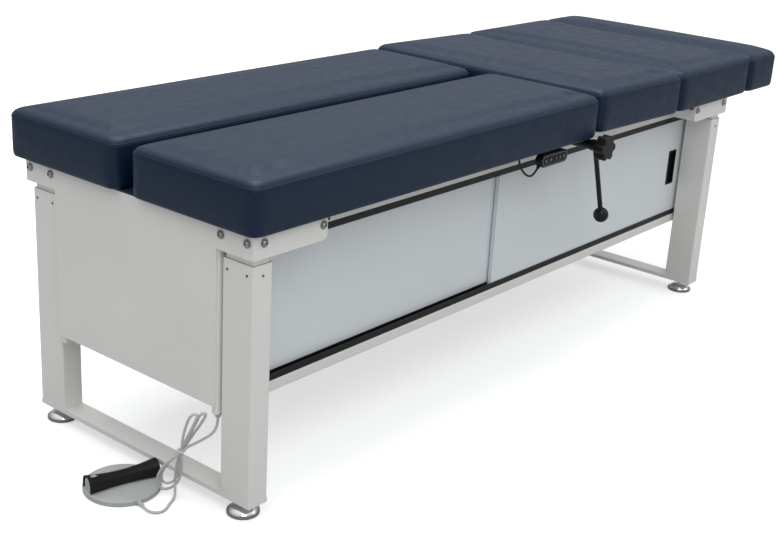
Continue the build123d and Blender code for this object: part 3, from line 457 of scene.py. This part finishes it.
def foot_switch_cord():
    """Grey cord of the foot switch."""
    turn = SWITCH_TURN - math.pi / 2
    ahead = Vector((math.cos(turn), math.sin(turn), 0))
    back = Vector((-ahead.y, ahead.x, 0))
    tip = SWITCH_AT + Vector((0, 0, RELIEF_HEIGHT)) + ahead * RELIEF_REACH
    near = tip + ahead * FLOOR_BEND
    bend = near + (ahead + back).normalized() * FLOOR_BEND
    far = bend + back * FLOOR_BEND
    near.z, bend.z, far.z = 5.4, 3.8, 2.8
    points = [GLAND_MOUTH, GLAND_MOUTH + Vector((0, 0, -27)), GLAND_MOUTH + Vector((-13, 25, -53)),
              HANK_TIE + HANK_RIGHT * 8 + HANK_UP * 12]
    points += hank_points()
    points += [Vector((-36, 169, 4.4)), Vector((-58, 160, 2.8)), far, bend, near, tip]
    line = smooth_line(points, "foot_switch_flex")
    flex = tube("foot_switch_flex", line, CORD_R * MM, finishes["light_cord"])
    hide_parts("foot_switch_cord", "cord_hank")
    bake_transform(flex)


def hank_tie():
    """Pale band round the strands of the hank."""
    band = [HANK_TIE + HANK_RIGHT * (TIE_WIDE * math.cos(a))
            + HANK_AWAY * (TIE_DEEP * math.sin(a) + TIE_BACK) for a in turns(24)]
    tie = tube("cord_tie", placed(band), TIE_R * MM, tag_paint, 10, closed=True)
    carried(tie, "base")


# Handset cord: it leaves the handset's end aslant and goes up into the frame
HANDSET_CORD_R = 2.5
STUB_BACK = 10.0
STUB_LONG = 22.3
GROMMET = Vector((853.0, 14.0, 588.0))


def handset_cord():
    """Short black cord of the handset."""
    slant = Vector((-1, 0, -1)).normalized()
    stub = HANDSET + Vector((-HANDSET_STRAIGHT / 2, STUB_BACK, 0)) + slant * STUB_LONG
    points = [stub, stub + slant * 21.5, Vector((stub.x - 36, 1, stub.z - 13.5)),
              Vector((stub.x - 52, 8, stub.z + 4)), GROMMET - Vector((0, 0, 18)), GROMMET]
    line = smooth_line(points, "handset_flex")
    flex = tube("handset_flex", line, HANDSET_CORD_R * MM, finishes["black_cord"])
    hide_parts("handset_cord")
    carried(flex, "lift")


# Upholstery: body, outline, how much lower its seam lies and how much fuller its crown is
PADS = {
    "leg_pad_front": ("lift", (-31, 1120, -31, 306), 0.0, 1.0),
    "leg_pad_back": ("lift", (-31, 1120, 350, 687), 0.0, 1.0),
    "chest_pad": ("lift", (1534, 1937, -31, 687), 0.0, 1.2),
    "head_pad": ("lift", (1942, 2110, -32, 687), 2.0, 1.25),
    "drop_pad": ("drop_section", (1125, 1529, -31, 687), 0.0, 1.05),
}
DECK_TOP = 592.0
HINGE = (1534.0, 325.0, 584.0)
DROP_LONG = 409.0
COCK_RISE = 8.0
COCKED = math.asin(COCK_RISE / DROP_LONG)
PAD_CORNER = 22.0
CROWN_CORNER = 10.0
SEAM_HEIGHT = 87.5
# Inset from the outline and height of each ring, from the hem up to the crown
PAD_PROFILE = [(9, 0.2), (4, 1.0), (1.4, 3.5), (0.4, 9), (0, 22), (0, 45), (0, 70), (0, SEAM_HEIGHT),
               (1.4, 91.5), (4.6, 96.4), (9.6, 100.2), (18, 103.2), (30, 105.0), (48, 106.0), (70, 106.5)]
# Most that the cover swells at the sides and on top, and what the hem and the seam hold
SIDE_CAP = 2.2
TOP_CAP = 7.0
SEAM_HALF = 3.2
HEM_HELD = 5.0
TOP_FACING = 0.6
PRESSURE = 4.0
COVER_MASS = 0.3
SWELL_FRAMES = 20
VOXEL = 6.0
# Height over the seam, depth in the cover and radius of the sewn line, which is drawn in darker vinyl as
# painted shade of the seam's groove, and of the fold above it
STITCH = (-1.0, 0.0, 1.2)
WELT = (2.6, 0.3, 1.3)
RAY_START = 12.0
SEAM_STEP = 12.0


def rounded_ring(x0, x1, y0, y1, corner, steps=8):
    """Points of a rectangle with round corners."""
    ring = []
    for cx, cy, start in ((x1 - corner, y1 - corner, 0), (x0 + corner, y1 - corner, 90),
                          (x0 + corner, y0 + corner, 180), (x1 - corner, y0 + corner, 270)):
        for k in range(steps + 1):
            a = math.radians(start + 90 * k / steps)
            ring.append((cx + corner * math.cos(a), cy + corner * math.sin(a)))
    return ring


def pad_body(name, outline, lower, fuller):
    """Closed crowned form of one pad before it is blown up."""
    x0, x1, y0, y1 = outline
    mesh = bmesh.new()
    rings = []
    side = SEAM_HEIGHT - lower
    for inset, height in PAD_PROFILE:
        level = height * side / SEAM_HEIGHT
        if height > SEAM_HEIGHT:
            level = side + (height - SEAM_HEIGHT) * fuller
        corner = max(PAD_CORNER - 0.5 * inset, CROWN_CORNER)
        ring = rounded_ring(x0 + inset, x1 - inset, y0 + inset, y1 - inset, corner)
        rings.append([mesh.verts.new(at(x, y, DECK_TOP + level)) for x, y in ring])
    skin(mesh, rings)
    bmesh.ops.recalc_face_normals(mesh, faces=mesh.faces)
    return piece_of(mesh, name, finishes["vinyl"])


def remesh(obj, size):
    """Even mesh of small faces over the pad."""
    bpy.context.view_layer.objects.active = obj
    bpy.ops.object.select_all(action="DESELECT")
    obj.select_set(True)
    obj.data.remesh_voxel_size = size * MM
    bpy.ops.object.voxel_remesh()


def hold(obj, seam_z, normals):
    """Vertex group of the points that the hem and the sewn seam hold."""
    def is_held(place, normal):
        at_hem = place.z < (DECK_TOP + HEM_HELD) * MM
        return at_hem or abs(place.z - seam_z * MM) < SEAM_HALF * MM and normal.z < TOP_FACING
    group = obj.vertex_groups.new(name="held")
    held = [i for i, v in enumerate(obj.data.vertices) if is_held(v.co, normals[i])]
    group.add(held, 1.0, "REPLACE")


def blow_up(obj, seam_z):
    """Swells the pad as cloth between its hem and its sewn seam, no point by more than its cap."""
    before = [v.co.copy() for v in obj.data.vertices]
    outward = [v.normal.copy() for v in obj.data.vertices]
    hold(obj, seam_z, outward)
    cloth = obj.modifiers.new("cloth", "CLOTH")
    settings = cloth.settings
    settings.use_pressure = True
    settings.uniform_pressure_force = PRESSURE
    settings.effector_weights.gravity = 0.0
    settings.vertex_group_mass = "held"
    settings.quality = 3
    settings.mass = COVER_MASS
    cloth.collision_settings.use_collision = False
    scene = bpy.context.scene
    for step in range(1, SWELL_FRAMES + 1):
        scene.frame_set(step)
    depsgraph = bpy.context.evaluated_depsgraph_get()
    blown = bpy.data.meshes.new_from_object(obj.evaluated_get(depsgraph))
    after = [v.co.copy() for v in blown.vertices]
    bpy.data.meshes.remove(blown)
    obj.modifiers.remove(cloth)
    obj.vertex_groups.clear()
    scene.frame_set(1)
    for vertex, a, b, normal in zip(obj.data.vertices, before, after, outward):
        swell = max(0.0, (b - a).dot(normal))
        cap = (SIDE_CAP + (TOP_CAP - SIDE_CAP) * max(0.0, normal.z)) * MM
        vertex.co = a + normal * min(swell, cap)


def smooth(obj):
    """Evens out the mesh once."""
    mesh = bmesh.new()
    mesh.from_mesh(obj.data)
    bmesh.ops.smooth_vert(mesh, verts=mesh.verts, factor=0.5,
                          use_axis_x=True, use_axis_y=True, use_axis_z=True)
    mesh.to_mesh(obj.data)
    mesh.free()


def seam(name, pad, outline, seam_z, form, material):
    """Line round the pad, laid on its surface: rays go in from outside and stop at the cover."""
    x0, x1, y0, y1 = outline
    over, sink, radius = form
    height = seam_z + over
    outer = rounded_ring(x0 - RAY_START, x1 + RAY_START, y0 - RAY_START, y1 + RAY_START,
                         PAD_CORNER + RAY_START, 10)
    points = []
    for a, b in zip(outer, outer[1:] + outer[:1]):
        steps = max(1, int(math.dist(a, b) / SEAM_STEP))
        for k in range(steps):
            points.append((a[0] + (b[0] - a[0]) * k / steps, a[1] + (b[1] - a[1]) * k / steps))
    line = []
    for x, y in points:
        inner_x = min(max(x, x0 + PAD_CORNER), x1 - PAD_CORNER)
        inner_y = min(max(y, y0 + PAD_CORNER), y1 - PAD_CORNER)
        origin = at(x, y, height)
        way = at(inner_x, inner_y, height) - origin
        hit, spot, normal, _ = pad.ray_cast(origin, way.normalized())
        if hit:
            line.append(spot - normal * sink * MM)
    return tube(name, line, radius * MM, material, 8, closed=True)


def upholstery():
    """The five pads with their seams; the drop pad is tipped up with its plate."""
    tip = (Matrix.Translation(at(*HINGE)) @ Matrix.Rotation(COCKED, 4, "Y")
           @ Matrix.Translation(-at(*HINGE)))
    for node, (body, outline, lower, fuller) in PADS.items():
        seam_z = DECK_TOP + SEAM_HEIGHT - lower
        pad = pad_body(node + "_cover", outline, lower, fuller)
        remesh(pad, VOXEL)
        smooth(pad)
        blow_up(pad, seam_z)
        smooth(pad)
        for polygon in pad.data.polygons:
            polygon.use_smooth = True
        bpy.context.view_layer.update()
        # The sewn line wears the darker vinyl, painted shade of the seam's groove
        seam_shade_line = seam(node + "_seam", pad, outline, seam_z, STITCH, seam_groove_shade_vinyl)
        welt = seam(node + "_welt", pad, outline, seam_z, WELT, finishes["vinyl"])
        for piece in (pad, seam_shade_line, welt):
            if body == "drop_section":
                piece.data.transform(tip)
            carried(piece, body)
        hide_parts(node)


# Small screws in the leg tops: radius, places across a leg and heights
SCREW_R = 2.6
SCREW_PROFILE = [(1.0, 0.0), (1.0, 0.25), (0.86, 0.5), (0.55, 0.66), (0.3, 0.68), (0.24, 0.35)]
LEG_FRONTS = (0.0, 570.0)
END_SCREWS = (16, 67)
END_SCREW_HEIGHT = 507
SIDE_SCREW_HEIGHT = 506


def small_screw(name, centre, out):
    """Domed screw head with a round recess, on a face that looks outward."""
    mesh = bmesh.new()
    rings = [[mesh.verts.new((r * SCREW_R * math.cos(a), r * SCREW_R * math.sin(a), h * SCREW_R))
              for a in turns(20)] for r, h in SCREW_PROFILE]
    skin(mesh, rings)
    turn = Vector((0, 0, 1)).rotation_difference(Vector(out)).to_matrix().to_4x4()
    screw = piece_of(mesh, name, screw_metal)
    screw.data.transform(Matrix.Translation(at(*centre)) @ turn @ Matrix.Scale(MM, 4))
    return screw


def leg_screws():
    """The small screws that hold the guide in the top of each leg."""
    spots = []
    for x_face, out in ((0.0, -1), (LEGS_LONG, 1)):
        for leg_front in LEG_FRONTS:
            for across in END_SCREWS:
                spots.append(((x_face, leg_front + across, END_SCREW_HEIGHT), (out, 0, 0)))
        for y_face, way in ((0.0, -1), (LEGS_DEEP, 1)):
            spots.append(((x_face - out * LEG_WIDE / 2, y_face, SIDE_SCREW_HEIGHT), (0, way, 0)))
    for count, (place, out) in enumerate(spots):
        carried(small_screw(f"leg_screw_{count}", place, out), "base")


# Rocker of the foot switch: radius at its ends and at its waist, half its length; and its tag
ROCKER_END = 19.0
ROCKER_WAIST = 12.0
ROCKER_HALF = 75.0
TAG_ALONG = (-69.0, -64.0, -59.0, -54.0)
TAG_ROUND = [math.radians(5 * k - 24) for k in range(6)]
TAG_OVER = 0.25
TAG_THICK = 0.2


def rocker_tag():
    """Small blank white tag on top of the rocker, near its outer end."""
    ahead = Vector((math.cos(SWITCH_TURN), math.sin(SWITCH_TURN), 0))
    across = Vector((-ahead.y, ahead.x, 0))
    middle = SWITCH_AT + Vector((0, 0, ROCKER_AXIS))
    mesh = bmesh.new()
    rows = []
    for along in TAG_ALONG:
        radius = ROCKER_WAIST + (ROCKER_END - ROCKER_WAIST) * -along / ROCKER_HALF + TAG_OVER
        row = [middle + ahead * along + across * (radius * math.sin(a))
               + Vector((0, 0, radius * math.cos(a))) for a in TAG_ROUND]
        rows.append([mesh.verts.new(p) for p in placed(row)])
    for a, b in zip(rows, rows[1:]):
        for k in range(len(a) - 1):
            mesh.faces.new((a[k], b[k], b[k + 1], a[k + 1]))
    bmesh.ops.solidify(mesh, geom=mesh.faces[:], thickness=TAG_THICK * MM)
    carried(piece_of(mesh, "rocker_tag", tag_paint), "foot_rocker")


# Marks of the handset: the line round its buttons, each button's place and the marks on them
LINE_END_IN = 1.0
LINE_SIDE_IN = 4.2
LINE_OUT = 0.1
LINE_R = 0.55
ARROWS = {"up": (-38.0, 1), "down": (-18.0, -1)}
PRESETS = {"preset_one": 3.0, "preset_two": 20.0, "preset_three": 37.0}
BUTTON_FACE = -13.1
MARK = 3.0
ARROW_BASE = 0.75
STROKE_GAP = 2.4
STROKE_HALF = 0.5
MARK_THICK = 0.15


def button_mark(name, outlines):
    """Thin flat marks on the face of a button; outlines are X and Z pairs."""
    mesh = bmesh.new()
    for outline in outlines:
        mesh.faces.new([mesh.verts.new(at(x, BUTTON_FACE, z)) for x, z in outline])
    bmesh.ops.recalc_face_normals(mesh, faces=mesh.faces)
    bmesh.ops.solidify(mesh, geom=mesh.faces[:], thickness=MARK_THICK * MM)
    carried(piece_of(mesh, f"mark_{name}", mark_paint), f"button_{name}")


def handset_line():
    """Thin line round the button field."""
    half = HANDSET_STRAIGHT / 2 - LINE_END_IN
    radius = HANDSET_TALL / 2 - LINE_SIDE_IN
    line = []
    for centre, start in ((half, -90), (-half, 90)):
        for k in range(13):
            a = math.radians(start + 15 * k)
            line.append(at(HANDSET.x + centre + radius * math.cos(a), HANDSET.y - LINE_OUT,
                           HANDSET.z + radius * math.sin(a)))
    rim = tube("handset_line", line, LINE_R * MM, face_line, 8, closed=True)
    carried(rim, "lift")


def button_marks():
    """Arrows on the up and down buttons, and one, two and three strokes on the presets."""
    z = HANDSET.z
    for name, (dx, way) in ARROWS.items():
        x = HANDSET.x + dx
        base = z - way * ARROW_BASE * MARK
        button_mark(name, [[(x - MARK, base), (x + MARK, base), (x, z + way * MARK)]])
    for count, (name, dx) in enumerate(PRESETS.items()):
        strokes = []
        for k in range(count + 1):
            x = HANDSET.x + dx + (k - count / 2) * STROKE_GAP
            strokes.append([(x - STROKE_HALF, z - MARK), (x + STROKE_HALF, z - MARK),
                            (x + STROKE_HALF, z + MARK), (x - STROKE_HALF, z + MARK)])
        button_mark(name, strokes)


# Stage: what the camera sees of the floor and what it throws back, light of the room, lamps by
# name, place, target, size and power
FLOOR_HALF = 20.0
FLOOR_SEEN = 0.93
FLOOR_BOUNCE = 0.45
FLOOR_GLOW = 0.42
SKY_LOW = 0.28
SKY_HIGH = 1.12
SKY_COLOUR = (0.94, 0.96, 0.98, 1)
LAMPS = (("key", (-2.6, -3.0, 3.4), (0, 0, 0.5), 2.4, 30.0),
         ("fill", (2.8, -3.6, 2.4), (0.4, 0, 0.4), 2.6, 14.0),
         ("top", (0.3, 0.6, 4.2), (0, 0.1, 0.4), 3.0, 80.0))


def floor():
    """White floor that keeps the table's soft shadow and throws less light back than it shows."""
    mesh = bmesh.new()
    mesh.faces.new([mesh.verts.new((x * FLOOR_HALF, y * FLOOR_HALF, 0))
                    for x, y in ((-1, -1), (1, -1), (1, 1), (-1, 1))])
    s = Shader("floor_pale", (FLOOR_SEEN,) * 3, rough=0.95, Specular_IOR_Level=0.0)
    seen = s.tree.nodes.new("ShaderNodeLightPath").outputs["Is Camera Ray"]
    s.base(seen, FLOOR_BOUNCE, FLOOR_SEEN)
    s.main.inputs["Emission Color"].default_value = (1, 1, 1, 1)
    s.link(s.ramp(seen, 0.0, FLOOR_GLOW), s.main.inputs["Emission Strength"])
    s.bump(s.noise(40, 2), 0.0003, 0.1)
    piece_of(mesh, "floor", s.material)


def sky():
    """Room light that is brighter overhead than at the sides; the camera sees it white."""
    world = bpy.data.worlds.new("world")
    bpy.context.scene.world = world
    world.use_nodes = True
    nodes = world.node_tree.nodes
    links = world.node_tree.links
    split = nodes.new("ShaderNodeSeparateXYZ")
    links.new(nodes.new("ShaderNodeTexCoord").outputs["Generated"], split.inputs["Vector"])
    level = nodes.new("ShaderNodeMapRange")
    level.inputs["To Min"].default_value = SKY_LOW
    level.inputs["To Max"].default_value = SKY_HIGH
    links.new(split.outputs["Z"], level.inputs["Value"])
    room = nodes["Background"]
    room.inputs["Color"].default_value = SKY_COLOUR
    links.new(level.outputs["Result"], room.inputs["Strength"])
    white = nodes.new("ShaderNodeBackground")
    white.inputs["Color"].default_value = (1, 1, 1, 1)
    mix = nodes.new("ShaderNodeMixShader")
    links.new(nodes.new("ShaderNodeLightPath").outputs["Is Camera Ray"], mix.inputs["Fac"])
    links.new(room.outputs[0], mix.inputs[1])
    links.new(white.outputs[0], mix.inputs[2])
    links.new(mix.outputs[0], nodes["World Output"].inputs["Surface"])


def lamps():
    """Soft square lamps from the front left, the front right and above."""
    for name, place, target, size, power in LAMPS:
        lamp = bpy.data.lights.new(name, "AREA")
        lamp.shape = "SQUARE"
        lamp.size = size
        lamp.energy = power
        obj = bpy.data.objects.new(name, lamp)
        bpy.context.scene.collection.objects.link(obj)
        obj.location = place
        obj.rotation_euler = (Vector(target) - Vector(place)).to_track_quat("-Z", "Y").to_euler()


camera()
foot_switch_cord()
handset_cord()
hank_tie()
dress_frame()
upholstery()
leg_screws()
rocker_tag()
handset_line()
button_marks()
floor()
sky()
lamps()
bpy.context.scene.view_settings.view_transform = "Standard"
